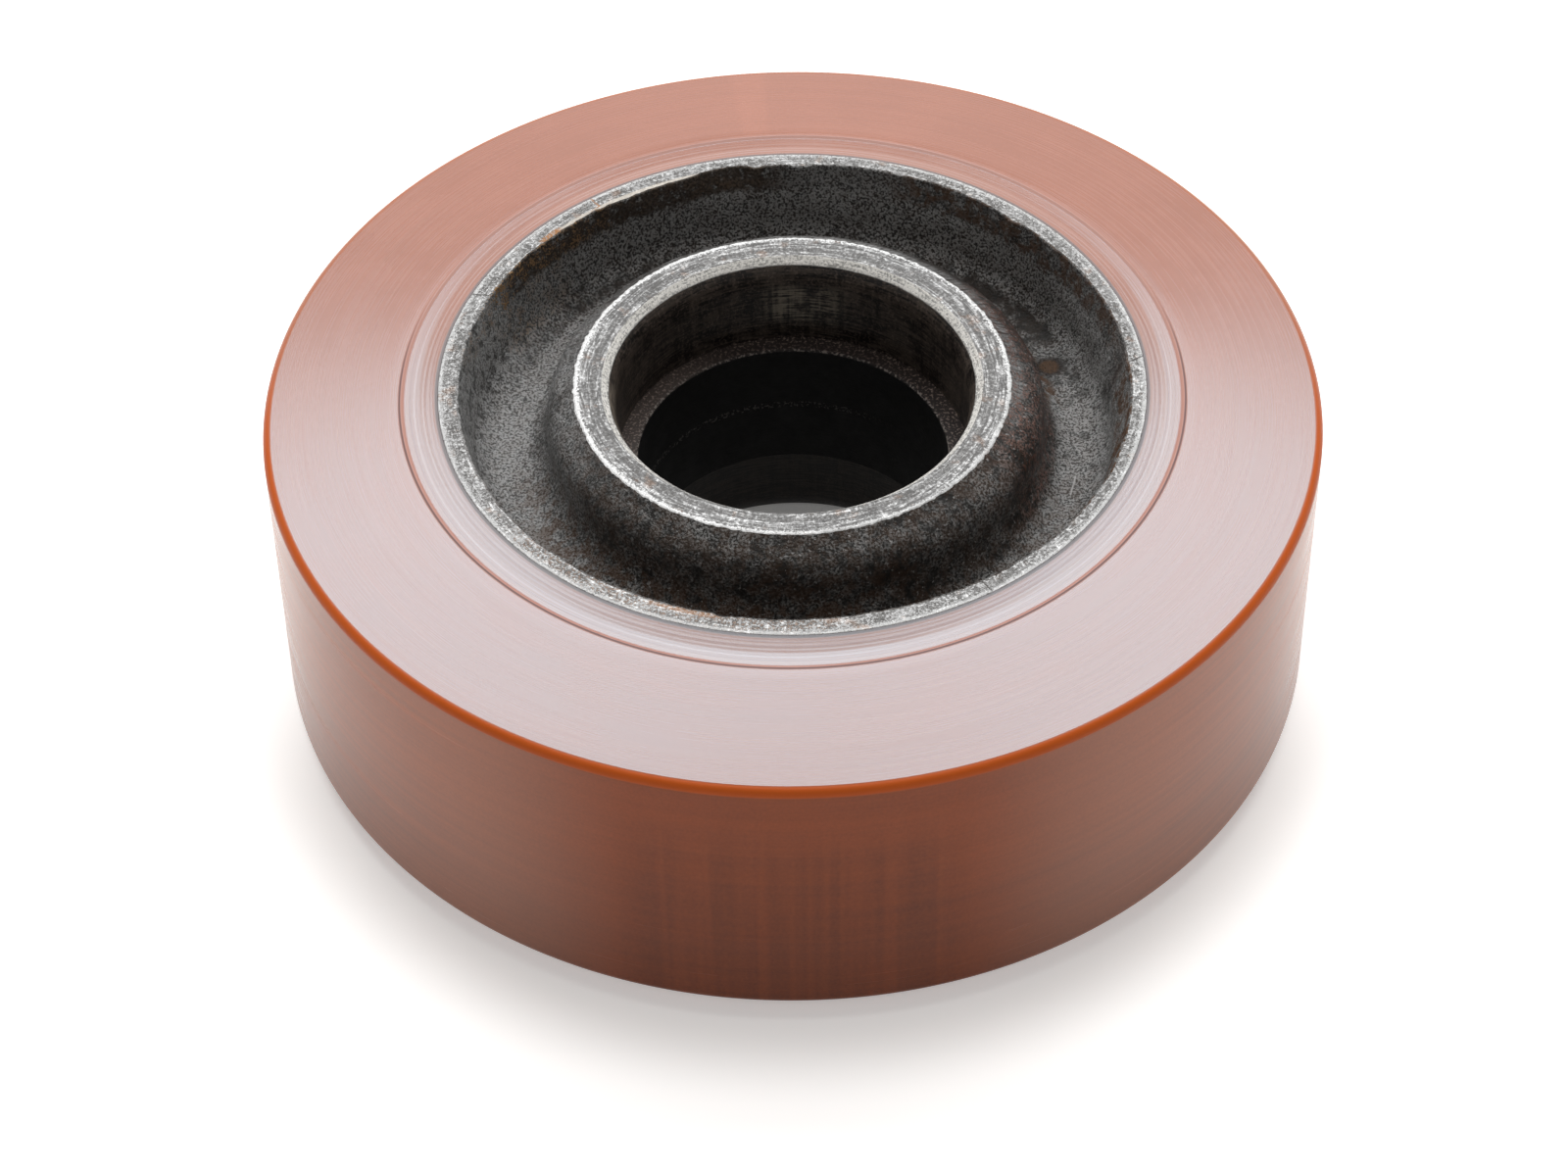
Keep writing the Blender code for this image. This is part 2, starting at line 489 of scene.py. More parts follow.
def tyre_tread_finish(tyre):
    """Rolling surface: clear red-brown, with painted shade on its front and low down, painted light round
    the rest, and light in its thin corners.
    """
    tread = SurfaceFinish(
        "polyurethane_tread", {"IOR": 1.5, "Specular IOR Level": 0.22, "Anisotropic": 0.2}
    )
    fine = tread.grain(tread.lathe_lines(2.0, 4.0), 1.0, 3.0, 0.6)
    broad = tread.grain(tread.lathe_lines(1.4, 0.8), 1.0, 2.0, 0.5)
    clouds = tread.grain(tread.place, 0.09, 3.0, 0.55)
    behind = tread.toward(90, 70, 30)
    out = tyre.diameter / 2 / MM - tread.radius
    down = tyre.width / 2 / MM - tread.height
    corner = ((out * out + down * down) ** 0.5).ramp(0.75, 1.15, 1.0, 0.0)
    corner = corner * (1 - behind) * tread.z.ramp(-1, 1)

    tone = 1.2 + 0.14 * (fine - 0.5) + 0.18 * (broad - 0.5) + 0.12 * (clouds - 0.5)
    # Painted shade: the front, which faces away from the softbox, darker.
    tone = tone - 0.40 * tread.toward(-90, 6, 34)
    smears = tread.grain(
        tread.joined(tread.round_x * 36, tread.round_y * 36, tread.z * 0.01), 1.0, 1.5, 0.5
    )
    wet = tread.toward(-91, 13, 7) * tread.z.ramp(15, 4, 0.0, 1.0)
    tone = tone - 0.17 * wet * smears.ramp(0.36, 0.60, 0.2, 1.0)
    tool = tread.grain(
        tread.joined(tread.round_x * 0.6, tread.round_y * 0.6, tread.z * 1.1), 1.0, 2.0, 0.6
    )
    stipple = tread.grain(tread.place, 2.4, 1.0, 0.5)
    tone = tone + 0.9 * (tool - 0.5) * (1 - 0.8 * tread.toward(-90, 25, 25)) + 0.3 * (stipple - 0.5)
    # Painted shade: darker towards the bottom, where the floor in front lies in shadow.
    tone = tone * tread.z.ramp(-20, 12, 0.78, 1.06)
    base = tread.scaled(tuple(tyre.body), tone)
    # Dust, and painted light that pales the rolling surface everywhere but at the front.
    dust_and_painted_light = tread.toward(-36, 16, 22) + tread.toward(216, 16, 22) + tread.toward(90, 100, 20)
    base = tread.blend(0.24 * dust_and_painted_light.lesser_of(1), base, (*tyre.tread_dust, 1))
    # Painted sheen: on the back, the top of the corner takes the paler colour of the side face.
    base = tread.blend(tread.height.ramp(18.7, 19.1) * behind, base, (*tyre.side, 1))
    base = tread.blend(corner, base, (*tyre.corner, 1))

    roughness = 0.22 + 0.12 * (fine - 0.5) + 0.08 * (clouds - 0.5) + 0.2 * corner + 0.2 * (tool - 0.5)
    lines = tread.grain(tread.lathe_lines(3.0, 7.0), 1.0, 2.0, 0.6)
    normal = tread.relief(lines, 0.010 * MM, 0.4)
    normal = tread.relief(fine, 0.02 * MM, 0.3, normal)
    return tread.feed(colour=base, roughness=roughness, normal=normal)


def turned_iron_finish(hub):
    """Turned cast iron: grey, scratched every way, tarnished in spots, with painted glints along its turned
    edge lines and painted highlights on its chamfer and bevel.
    """
    iron = SurfaceFinish("iron_turned", {"Anisotropic": 0.2})
    speckle = iron.grain(iron.place, 2.8, 2.0, 0.6)
    clouds = iron.grain(iron.place, 0.5, 3.0, 0.6)
    lines = iron.grain(iron.lathe_lines(9.0, 3.2), 1.0, 2.0, 0.6)
    hatch = iron.grain(
        iron.joined(iron.x * 0.7 + iron.y * 2.6, iron.y * 0.5 - iron.x * 2.4, iron.z), 1.0, 1.5, 0.5
    )
    spokes = iron.grain(
        iron.joined(iron.round_x * 95, iron.round_y * 95, iron.radius * 0.4), 1.0, 1.5, 0.5
    )
    scratch = (hatch * 0.35 + spokes * 0.2 + lines * 0.45).ramp(0.50, 0.58)
    dark_scratch = (hatch * 0.5 + lines * 0.5).ramp(0.41, 0.47, 1.0, 0.0)
    flecks = speckle.ramp(0.52, 0.62)

    on_boss = iron.radius.ramp(34, 36, 1.0, 0.0)
    tarnish = (speckle * 0.75 + clouds * 0.25).ramp(0.45, 0.55)
    crackle = iron.grain(iron.place, 0.9, 3.0, 0.7)
    veins = abs(crackle - 0.5).ramp(0.006, 0.030, 1.0, 0.0) * (1 - on_boss) * clouds.ramp(0.38, 0.50)
    base = iron.blend(tarnish * (1 - 0.45 * on_boss), (*hub.iron, 1), (*hub.tarnish, 1))
    base = iron.scaled(base, 1 - 0.2 * on_boss)
    rings = lines.ramp(0.40, 0.60, 0.70, 1.25)
    grime = 1 - 0.06 * iron.toward(182, 38, 20)
    base = iron.scaled(base, 1 + on_boss * (rings * grime - 1))
    base = iron.blend(dark_scratch * (0.3 + 0.3 * on_boss), base, (0.07, 0.065, 0.06, 1))
    pale_scratch = scratch * 0.42 + flecks * (0.26 - 0.10 * on_boss)
    base = iron.blend(pale_scratch, base, (0.58, 0.575, 0.565, 1))
    base = iron.blend(veins * 0.8, base, (0.05, 0.045, 0.04, 1))
    grooves = on_boss * iron.radius.band(26.3, 0.25, 0.3) * lines.ramp(0.42, 0.55)
    base = iron.blend(grooves * 0.6, base, (0.07, 0.065, 0.06, 1))
    warm = iron.grain(iron.place, 0.3, 3.0, 0.6).ramp(0.58, 0.70) * 0.3
    warm = warm + 0.5 * flecks * iron.toward(-112, 22, 12) * (1 - on_boss)
    base = iron.blend(warm, base, (0.30, 0.17, 0.10, 1))

    # Painted glints: near-white ragged lines along the turned edges of the boss and rim, weaker towards the
    # front right.
    ragged_boss = iron.radius + 1.8 * (speckle - 0.5) + 0.14 * iron.toward(165, 55, 20)
    ragged_rim = iron.radius + 2.4 * (speckle - 0.5) + 1.6 * (clouds - 0.5)
    boss_edge = ragged_boss.ramp(28.36, 28.5) * on_boss
    rim_edge = ragged_rim.ramp(46.15, 46.45)
    edges = boss_edge * (0.95 - 0.3 * iron.toward(-45, 30, 20)) + rim_edge * 0.6
    base = iron.blend(edges * speckle.ramp(0.44, 0.52, 0.6, 1), base, (1.0, 0.995, 0.98, 1))
    # Painted highlight: cream streaks on the chamfer round the bore's mouth, weaker at about 245°.
    chamfer = iron.radius.band(24.72, 0.38, 0.15) * (1 - 0.5 * iron.toward(245, 12, 10))
    bright = (lines * 0.35 + speckle * 0.65).ramp(0.41, 0.54, 0.35, 1.0)
    base = iron.blend(chamfer * bright, base, (1.0, 0.965, 0.90, 1))
    # Painted highlight: a pale line on the pocket's upper edge at about 122°.
    bevel = iron.radius.band(44.15, 0.35, 0.12) * iron.toward(122, 14, 3)
    base = iron.blend(bevel * 0.8, base, (0.66, 0.60, 0.52, 1))
    rusty = iron.toward(137.5, 1.5, 1.5) + 0.5 * iron.toward(252, 4, 3)
    rusty = rusty * iron.radius.band(44.1, 0.5, 0.4)
    for start, end, strength in RUST_STROKES:
        rusty = rusty + strength * iron.stroke(start, end, 0.2)
    base = iron.blend((rusty * speckle.ramp(0.35, 0.5)).lesser_of(1), base, (0.40, 0.17, 0.05, 1))
    for start, end in RIM_CRACKS:
        base = iron.blend(iron.stroke(start, end, 0.14) * 0.8, base, (0.03, 0.025, 0.02, 1))

    # Metal is taken out where glints and highlights are painted, so their pale colour shows, and where rust
    # lies.
    pale = (boss_edge + rim_edge).lesser_of(1) * 0.45 + chamfer * bright * 0.9 + bevel * 0.6
    roughness = 0.48 + 0.15 * tarnish - 0.14 * scratch + 0.1 * (lines - 0.5)
    metallic = (0.85 - 0.4 * tarnish - pale - 0.6 * rusty).greater_of(0)
    normal = iron.relief(lines, 0.04 * MM, 0.6)
    normal = iron.relief(speckle, 0.06 * MM, 0.7, normal)
    normal = iron.relief(scratch, 0.03 * MM, 0.6, normal)
    return iron.feed(colour=base, roughness=roughness, metallic=metallic, normal=normal)


def cast_skin_finish(hub):
    """Raw casting: dark oxide with sandy grain, painted light on its left and right, painted shade on its
    front and at the rim's foot, rust in patches.
    """
    skin = SurfaceFinish("iron_cast_skin", {"IOR": 1.5, "Specular IOR Level": 0.25})
    sand = skin.grain(skin.place, 3.0, 2.0, 0.62)
    coarse = skin.grain(skin.place, 0.9, 3.0, 0.65)
    clouds = skin.grain(skin.place, 0.14, 4.0, 0.6)
    mottle = skin.grain(skin.place, 0.42, 2.0, 0.5)
    spots = skin.grain(skin.place, 0.55, 4.0, 0.65)
    front = skin.toward(-90, 55, 30)
    back = skin.toward(90, 60, 35)
    left = skin.toward(184, 14, 34)
    right = skin.toward(-4, 10, 34)
    boss = skin.radius.ramp(34.6, 35.6, 1.0, 0.0)
    floor = skin.height.ramp(13, 16, 1.0, 0.0)
    rim_foot = skin.radius.band(40.6, 1.0, 1.4) * floor
    wall = skin.radius.ramp(40.6, 41.8)
    wall_top = wall * (skin.height + 2.4 * (coarse - 0.5)).ramp(19.4, 20.6)

    light = 0.25 + 0.26 * (1 - boss) + 1.1 * (clouds - 0.5) + 0.9 * (coarse - 0.5)
    light = light + 0.9 * (mottle - 0.5)
    # Painted light: the web lighter on the left and right, and the rim's wall lighter still, most on the
    # left and right.
    light = light + (left + right) * 0.14 * (1 - boss) + wall * (0.24 + 0.15 * (left + right))
    light = light - 0.36 * skin.toward(34, 13, 14) * (1 - wall)
    # Painted shade: the foot of the rim darker, most at the back and at about 150°.
    light = light - 0.26 * skin.toward(150, 10, 14) * rim_foot
    light = light - (0.10 + 0.14 * back) * rim_foot * (1 - left) * (1 - right)
    grains = sand.ramp(0.41, 0.62, 0.06, 2.3)
    light = (light * grains).lesser_of(1).greater_of(0)
    base = skin.blend(light, (*hub.skin_dark, 1), (*hub.skin, 1))
    # Painted light: paler grey on the left and right of the web, most on the rim's wall there.
    lightened = left * (0.38 + 0.40 * wall) + right * (0.18 + 0.3 * wall) * (1 - boss)
    lightened = lightened * sand.ramp(0.40, 0.60, 0.35, 1.45)
    lightened = lightened * (clouds * 0.5 + coarse * 0.5).ramp(0.40, 0.52, 0.5, 1.1)
    base = skin.blend(lightened.lesser_of(1), base, (0.42, 0.42, 0.415, 1))
    pits = wall * (left + 0.6 * right) * (coarse * 0.6 + spots * 0.4).ramp(0.43, 0.50, 1.0, 0.0)
    base = skin.blend(pits * 0.7, base, (0.030, 0.026, 0.022, 1))

    metal = skin.radius.ramp(29.9, 31.2, 1.0, 0.0) * skin.height.ramp(20.5, 21.5)
    metal = metal * skin.toward(48, 36, 40)
    streaks = skin.grain(
        skin.joined(skin.round_x * 90, skin.round_y * 90, skin.radius * 0.3), 1.0, 2.0, 0.6
    )
    base = skin.blend(metal * streaks.ramp(0.38, 0.56, 0.12, 0.72), base, (0.40, 0.395, 0.39, 1))
    places = 0.14 + 0.3 * front + 0.8 * wall_top * skin.toward(40, 24, 10)
    places = places + 0.3 * skin.toward(-118, 40, 20) * skin.radius.band(35.2, 1.6, 1.2)
    places = places + 0.9 * wall * skin.height.ramp(16, 19) * skin.toward(-14, 14, 10)
    places = places + 0.9 * skin.toward(40, 22, 12) * skin.radius.band(34.8, 1.4, 1.0)
    rust = (spots * 0.7 + coarse * 0.3).ramp(0.43, 0.56) * places
    base = skin.blend((rust * 0.9).lesser_of(1), base, (*hub.rust, 1))
    warm = skin.toward(5, 22, 20) * skin.radius.band(31.8, 2.4, 1.2) * coarse.ramp(0.40, 0.56)
    base = skin.blend(warm * sand.ramp(0.40, 0.60) * 0.8, base, (0.19, 0.085, 0.06, 1))
    spot_edge = skin.spot(*BROWN_SPOT, 1.6, 0.6) * 0.8 * coarse.ramp(0.30, 0.42)
    base = skin.blend(spot_edge, base, (0.018, 0.012, 0.009, 1))
    spot = skin.spot(*BROWN_SPOT, 1.0, 0.6) * 0.9 * sand.ramp(0.36, 0.52, 0.4, 1.0)
    base = skin.blend(spot, base, (0.085, 0.045, 0.022, 1))

    # Painted shade on the front of the pocket. Also darker on the boss at about 30°, along the top of the
    # rim's wall, at a nick and in pits of the web.
    shade = front * 0.18 + wall_top * 0.25 * (1 - left - right) + 0.35 * boss * skin.toward(30, 22, 14)
    shade = shade + 0.5 * wall_top * skin.toward(40, 24, 8) * coarse.ramp(0.44, 0.52)
    nick = skin.toward(7, 1.6, 1.6) * skin.radius.ramp(41.6, 42.4)
    shade = shade + 0.8 * nick * coarse.ramp(0.42, 0.55)
    for x, y, radius in WEB_PITS:
        shade = shade + 0.6 * skin.spot(x, y, radius, 0.6) * coarse.ramp(0.40, 0.50)
    base = skin.blend(shade.lesser_of(1) * (1 - 0.6 * rust.lesser_of(1)), base, (*hub.skin_dark, 1))
    scale = wall_top * skin.toward(122, 26, 8) * (spots * 0.5 + coarse * 0.5).ramp(0.40, 0.47)
    base = skin.blend(scale * 0.85, base, (0.032, 0.020, 0.012, 1))
    glints = skin.toward(140, 10, 8) * 0.6 + skin.toward(114, 16, 8) * 0.15
    glints = glints + skin.toward(160, 8, 8) * 0.5
    glints = glints * (wall_top + wall * skin.toward(148, 8, 6) * 0.5)
    glints = glints * (spots * 0.45 + sand * 0.55).ramp(0.53, 0.57)
    base = skin.blend(glints.lesser_of(1), base, (0.26, 0.155, 0.075, 1))
    # Painted glints: light grey grains on the front of the boss.
    painted_grain_glints = boss * skin.toward(-50, 70, 30) * skin.grain(skin.place, 2.0, 2.0, 0.5).ramp(0.64, 0.69)
    base = skin.blend(painted_grain_glints * 0.5, base, (0.45, 0.44, 0.43, 1))
    scratch = skin.stroke((37.4, -7.0), (36.6, -10.3), 0.14)
    base = skin.blend(scratch * 0.7, base, (0.45, 0.44, 0.43, 1))

    roughness = 0.52 + 0.35 * (sand - 0.5) + 0.2 * rust
    normal = skin.relief(clouds, 0.5 * MM, 0.4)
    normal = skin.relief(coarse, 0.25 * MM, 0.8, normal)
    normal = skin.relief(sand, 0.20 * MM, 1.0, normal)
    return skin.feed(colour=base, roughness=roughness, metallic=0.25 + 0.5 * metal, normal=normal)


def bore_finish(hub):
    """Bored walls: oxide with tool lines, a brown speckled ledge, a worn patch that shines, and painted
    shade deep in the narrow middle.
    """
    wall = SurfaceFinish("iron_bore", {"IOR": 1.45, "Specular IOR Level": 0.25})
    lines = wall.grain(wall.joined(wall.round_x * 5, wall.round_y * 5, wall.z * 3.2), 1.0, 3.0, 0.6)
    runs = wall.grain(wall.joined(wall.round_x * 26, wall.round_y * 26, wall.z * 0.06), 1.0, 3.0, 0.6)
    clouds = wall.grain(wall.place, 0.25, 4.0, 0.65)
    speckle = wall.grain(wall.place, 2.5, 2.0, 0.6)
    seat = wall.radius.ramp(22, 23)
    upper = wall.z.ramp(-1, 1)
    deep = wall.radius.ramp(20.85, 21.1, 1.0, 0.0)
    back = wall.toward(90, 30, 30)

    # Painted shade: the narrow bore between the seats nearly black, and rougher.
    base = wall.blend(deep * 0.95, (*hub.bore, 1), (0.0004, 0.0003, 0.0003, 1))
    tint = seat * (clouds * 0.35 + runs * 0.2 + lines * 0.45).ramp(0.44, 0.57)
    base = wall.blend(tint * (0.3 + 0.5 * upper), base, (0.090, 0.070, 0.056, 1))
    glow = seat * wall.toward(200, 14, 16) * (0.2 + 0.4 * tint) * wall.z.ramp(14, 19)
    base = wall.blend(glow, base, (0.30, 0.25, 0.20, 1))
    patch = wall.toward(86, 4, 12) * wall.z.band(16.2, 1.6, 2.4) * clouds.ramp(0.36, 0.50)
    lightened = seat * patch * (lines * 0.65 + runs * 0.35).ramp(0.43, 0.55)
    base = wall.blend(lightened * 0.8, base, (0.30, 0.26, 0.20, 1))
    marks = wall.toward(97, 0.3, 0.8) + wall.toward(73, 0.3, 0.8)
    marks = marks + wall.toward(118, 3, 3) * runs.ramp(0.50, 0.58)
    base = wall.blend(seat * marks * wall.z.band(15.5, 3, 1) * 0.7, base, (*hub.bore, 1))

    ledge = wall.radius.band(22.2, 1.2, 0.2) * wall.height.band(10, 0.3, 0.2)
    base = wall.blend(ledge * 0.85, base, (0.028, 0.021, 0.019, 1))
    base = wall.blend(ledge * wall.toward(172, 34, 30) * 0.85, base, (0.070, 0.055, 0.048, 1))
    specks = (0.7 - 0.3 * back) * ledge + 0.25 * seat * upper
    base = wall.blend(specks * speckle.ramp(0.54, 0.62), base, (0.26, 0.20, 0.17, 1))
    lip = wall.radius.band(21.0, 0.08, 0.1) * wall.height.band(10, 0.4, 0.2)
    base = wall.blend(lip * speckle.ramp(0.47, 0.58) * (0.8 - 0.3 * back), base, (0.26, 0.23, 0.21, 1))
    witness = wall.height.band(0.2, 0.2, 0.15) * speckle.ramp(0.53, 0.62) * wall.toward(140, 50, 50)
    base = wall.blend(witness * 0.6, base, (0.14, 0.13, 0.12, 1))

    roughness = 0.42 + 0.25 * (clouds - 0.5) - 0.14 * lightened + 0.25 * deep
    normal = wall.relief(lines, 0.05 * MM, 0.5)
    normal = wall.relief(speckle, 0.08 * MM, 0.6, normal)
    return wall.feed(colour=base, roughness=roughness, normal=normal)


def floor_finish(stage):
    """Matt pale floor that the camera and reflections see white where no shadow lies, with painted shade
    near the wheel and a painted shadow in front of it.
    """
    matt = SurfaceFinish("floor_matt", {"Roughness": 1.0, "Specular IOR Level": 0.0})
    # Painted shade: the floor's own light cut close to the wheel and inside the bore.
    open_floor = matt.radius.ramp(60, 68, 0.15, 1.0)
    # Painted shadow: the floor's own light cut further in a ring in front of the wheel.
    shadow = matt.toward(-90, 62, 30) * matt.radius.band(65, 5.5, 14)
    lit = matt.seen() * (open_floor - 0.42 * shadow)
    lift = matt.blend(lit, (0, 0, 0, 1), (*[stage.floor_lift] * 3, 1))
    matt.surface.inputs["Base Color"].default_value = (*stage.floor, 1)
    matt.surface.inputs["Emission Strength"].default_value = 1.0
    matt.tree.links.new(lift.socket, matt.surface.inputs["Emission Color"])
    return matt.material


# Shapes


def leg_points(start, end, pitch):
    """Points from start to end, both left in, no further apart than pitch."""
    steps = max(1, math.ceil(math.dist(start, end) / pitch))
    return [
        (start[0] + (end[0] - start[0]) * step / steps, start[1] + (end[1] - start[1]) * step / steps)
        for step in range(steps + 1)
    ]


def fillet(before, corner, after, radius, steps):
    """Points of the arc that rounds a corner, from the first leg to the second."""
    corner, before, after = Vector(corner), Vector(before), Vector(after)
    to_before = (before - corner).normalized()
    to_after = (after - corner).normalized()
    turn = math.pi - to_before.angle(to_after)
    reach = radius * math.tan(turn / 2)
    longest = 0.49 * min((before - corner).length, (after - corner).length)
    if reach > longest:
        radius *= longest / reach
        reach = longest
    centre = corner + (to_before + to_after).normalized() * math.hypot(radius, reach)
    first = corner + to_before * reach - centre
    last = corner + to_after * reach - centre
    swing = first.angle_signed(last)
    points = []
    for step in range(steps + 1):
        angle = math.atan2(first.y, first.x) - swing * step / steps
        points.append((centre.x + radius * math.cos(angle), centre.y + radius * math.sin(angle)))
    return points


def beside(point, corner):
    """A point on the way to a corner, so near that the shading of the leg between stays flat."""
    point, corner = Vector(point), Vector(corner[:2])
    way = corner - point
    return tuple(point + way * min(0.3, FLAT_BEGINS / way.length))


def outline(corners):
    """Stations (radius, height, finish) along corners (radius, height, fillet, steps, pitch, finish).

    Pitch and finish are those of the leg that leads to the corner and of the corner's own arc.
    """
    stations = []
    last = corners[0][:2]
    for index in range(1, len(corners)):
        r, z, radius, steps, pitch, finish = corners[index]
        if radius and index + 1 < len(corners):
            arc = fillet(corners[index - 1][:2], (r, z), corners[index + 1][:2], radius, steps)
            arc = [beside(arc[0], corners[index - 1])] + arc + [beside(arc[-1], corners[index + 1])]
        else:
            arc = [(r, z)]
        points = leg_points(last, arc[0], pitch)[:-1] + arc
        if stations:
            points = points[1:]
        stations.extend((*point, finish) for point in points)
        last = arc[-1]
    return stations


def mirrored(upper):
    """Close the stations of an upper half, which starts and ends on the middle plane, into a loop."""
    lower = [(r, -z, above[2]) for (r, z, _), above in zip(upper[-2:0:-1], upper[:1:-1])]
    return [(*upper[0][:2], upper[1][2])] + upper[1:] + lower


def turned_piece(name, stations, facets, finishes, sharp_angle, shift=None):
    """Spin stations about +Z into a closed mesh. shift moves each point by what it returns."""
    points = []
    dr = dz = 0.0
    count = len(stations)
    for index, (r, z, _) in enumerate(stations):
        r0, z0, _ = stations[index - 1]
        r1, z1, _ = stations[(index + 1) % count]
        along = Vector((r1 - r0, z1 - z0)).normalized()
        out = Vector((-along.y, along.x))
        for step in range(facets):
            azimuth = 2 * math.pi * step / facets
            if shift:
                dr, dz = shift(r, z, azimuth, out)
            points.append(((r + dr) * math.cos(azimuth), (r + dr) * math.sin(azimuth), z + dz))
    faces, kinds = [], []
    for index in range(count):
        following = (index + 1) % count
        kind = stations[following][2]
        for step in range(facets):
            step_on = (step + 1) % facets
            faces.append((
                index * facets + step, index * facets + step_on,
                following * facets + step_on, following * facets + step,
            ))
            kinds.append(kind)
    mesh = bpy.data.meshes.new(name)
    mesh.from_pydata(points, [], faces)
    mesh.polygons.foreach_set("material_index", kinds)
    mesh.update()
    mesh.shade_smooth()
    mesh.set_sharp_from_angle(angle=sharp_angle)
    for finish in finishes:
        mesh.materials.append(finish)
    piece = bpy.data.objects.new(name, mesh)
    bpy.context.scene.collection.objects.link(piece)
    return piece


def smooth(value):
    """Smooth step of a value held between 0 and 1."""
    value = max(0.0, min(1.0, value))
    return value * value * (3 - 2 * value)


def ring_point(azimuth):
    """The point at an azimuth on a circle of radius one."""
    return Vector((math.cos(azimuth), math.sin(azimuth), 0))


def ripple(place, waves):
    """Sum of noise at a place, for waves of (scale, height)."""
    return sum(height * noise.noise(place * scale) for scale, height in waves)


def edge_reach(azimuth):
    """How far the pocket's edge reaches towards the axis at an azimuth, in metres."""
    degrees = math.degrees(azimuth)
    reach = 0.0
    for centre, half_width, height in EDGE_LUMPS:
        off = (degrees - centre + 180) % 360 - 180
        reach += height * MM * smooth(1.5 - abs(off) / half_width)
    return reach + MM * ripple(ring_point(azimuth), POCKET_RIPPLE)


# Numbers of the finishes on the hub and on the tyre
TURNED, SKIN, BORE = range(3)
SIDE, TREAD = range(2)


def hub_corners(hub):
    """Upper half of the hub as corners, up the bore, over the boss and down the rim."""
    face = hub.width / 2
    shoulder = hub.shoulder_diameter / 2
    seat = hub.seat_diameter / 2
    seat_floor = face - hub.seat_depth
    mouth = seat + LEAD_IN_RISE
    boss_face = hub.boss_face_diameter / 2
    boss = hub.boss_diameter / 2
    knee = face - hub.boss_shoulder_drop
    web = face - hub.pocket_depth
    boss_foot = boss + (knee - web) * math.tan(BOSS_DRAFT)
    rim = hub.rim_diameter / 2
    pocket_edge = rim - hub.rim_land
    rim_foot = pocket_edge - hub.pocket_depth * math.tan(RIM_DRAFT)
    return [
        (shoulder, 0, 0, 0, 1, BORE),
        (shoulder, MIDDLE_STRIP, 0, 0, 1, BORE),
        (shoulder, seat_floor - SHOULDER_CHAMFER, 0, 0, 0.0025, BORE),
        (shoulder + SHOULDER_CHAMFER, seat_floor, 0, 0, 1, BORE),
        (seat, seat_floor, 0, 0, 0.001, BORE),
        (seat, face - LEAD_IN_DEPTH, 0, 0, 0.002, BORE),
        (mouth, face - MOUTH_CHAMFER, 0, 0, 0.001, BORE),
        (mouth + MOUTH_CHAMFER, face, MOUTH_ROUND, 2, 0.0006, TURNED),
        (boss_face, face, BOSS_ROUND, 2, 0.0006, TURNED),
        (boss, knee, hub.boss_knee, 8, 0.0005, SKIN),
        (boss_foot, web, hub.boss_fillet, 10, 0.0006, SKIN),
        (rim_foot, web, hub.rim_fillet, 10, 0.0006, SKIN),
        (pocket_edge, face, RIM_ROUND, 2, 0.0006, SKIN),
        (rim, face, RIM_ROUND, 2, 0.0004, TURNED),
        (rim, 0, 0, 0, 0.006, TURNED),
    ]


def make_hub_casting(hub):
    """The dressed casting: turned, lumpy along its pocket's edge and wavy in its cast skin."""
    stations = mirrored(outline(hub_corners(hub)))
    face = hub.width / 2
    pocket_edge = hub.rim_diameter / 2 - hub.rim_land
    boss_face = hub.boss_face_diameter / 2
    reaches = {}

    def shift(r, z, azimuth, out):
        """Move the pocket's edge and the boss edge in and out, and give the cast skin its waves."""
        depth = face - abs(z)
        dr = dz = 0.0
        if r > pocket_edge - LUMPS_IN and depth < LUMPS_DOWN:
            if azimuth not in reaches:
                reaches[azimuth] = edge_reach(azimuth)
            fade = smooth(1 - depth / LUMPS_DOWN) * smooth(1 - (r - pocket_edge) / LUMPS_OUT)
            dr -= reaches[azimuth] * fade
        ring = ring_point(azimuth)
        if boss_face + 0.0003 < r < WEB_MIDDLE:
            fade = smooth((r - boss_face) / 0.002 - 0.15) * smooth((WEB_MIDDLE - r) / 0.004)
            dr += hub.boss_shift * ring.x * fade
        if depth < 0.0012 and boss_face - 0.0009 < r < boss_face + 0.0012:
            fade = smooth(1 - abs(r - boss_face) / 0.0012)
            dr += MM * fade * ripple(ring, BOSS_RIPPLE)
        if boss_face + 0.0001 < r < pocket_edge - 0.0001 and depth > 0.0002:
            place = Vector((r * ring.x, r * ring.y, z)) / MM
            fade = smooth((depth - 0.0002) / 0.0015)
            wave = hub.skin_relief * fade * ripple(place, SKIN_WAVES)
            dr += out.x * wave
            dz += out.y * wave
        return dr, dz

    finishes = [turned_iron_finish(hub), cast_skin_finish(hub), bore_finish(hub)]
    piece = turned_piece("hub_casting", stations, hub.facets, finishes, math.radians(38), shift)
    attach(piece, "root")
    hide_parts("hub")
    return piece


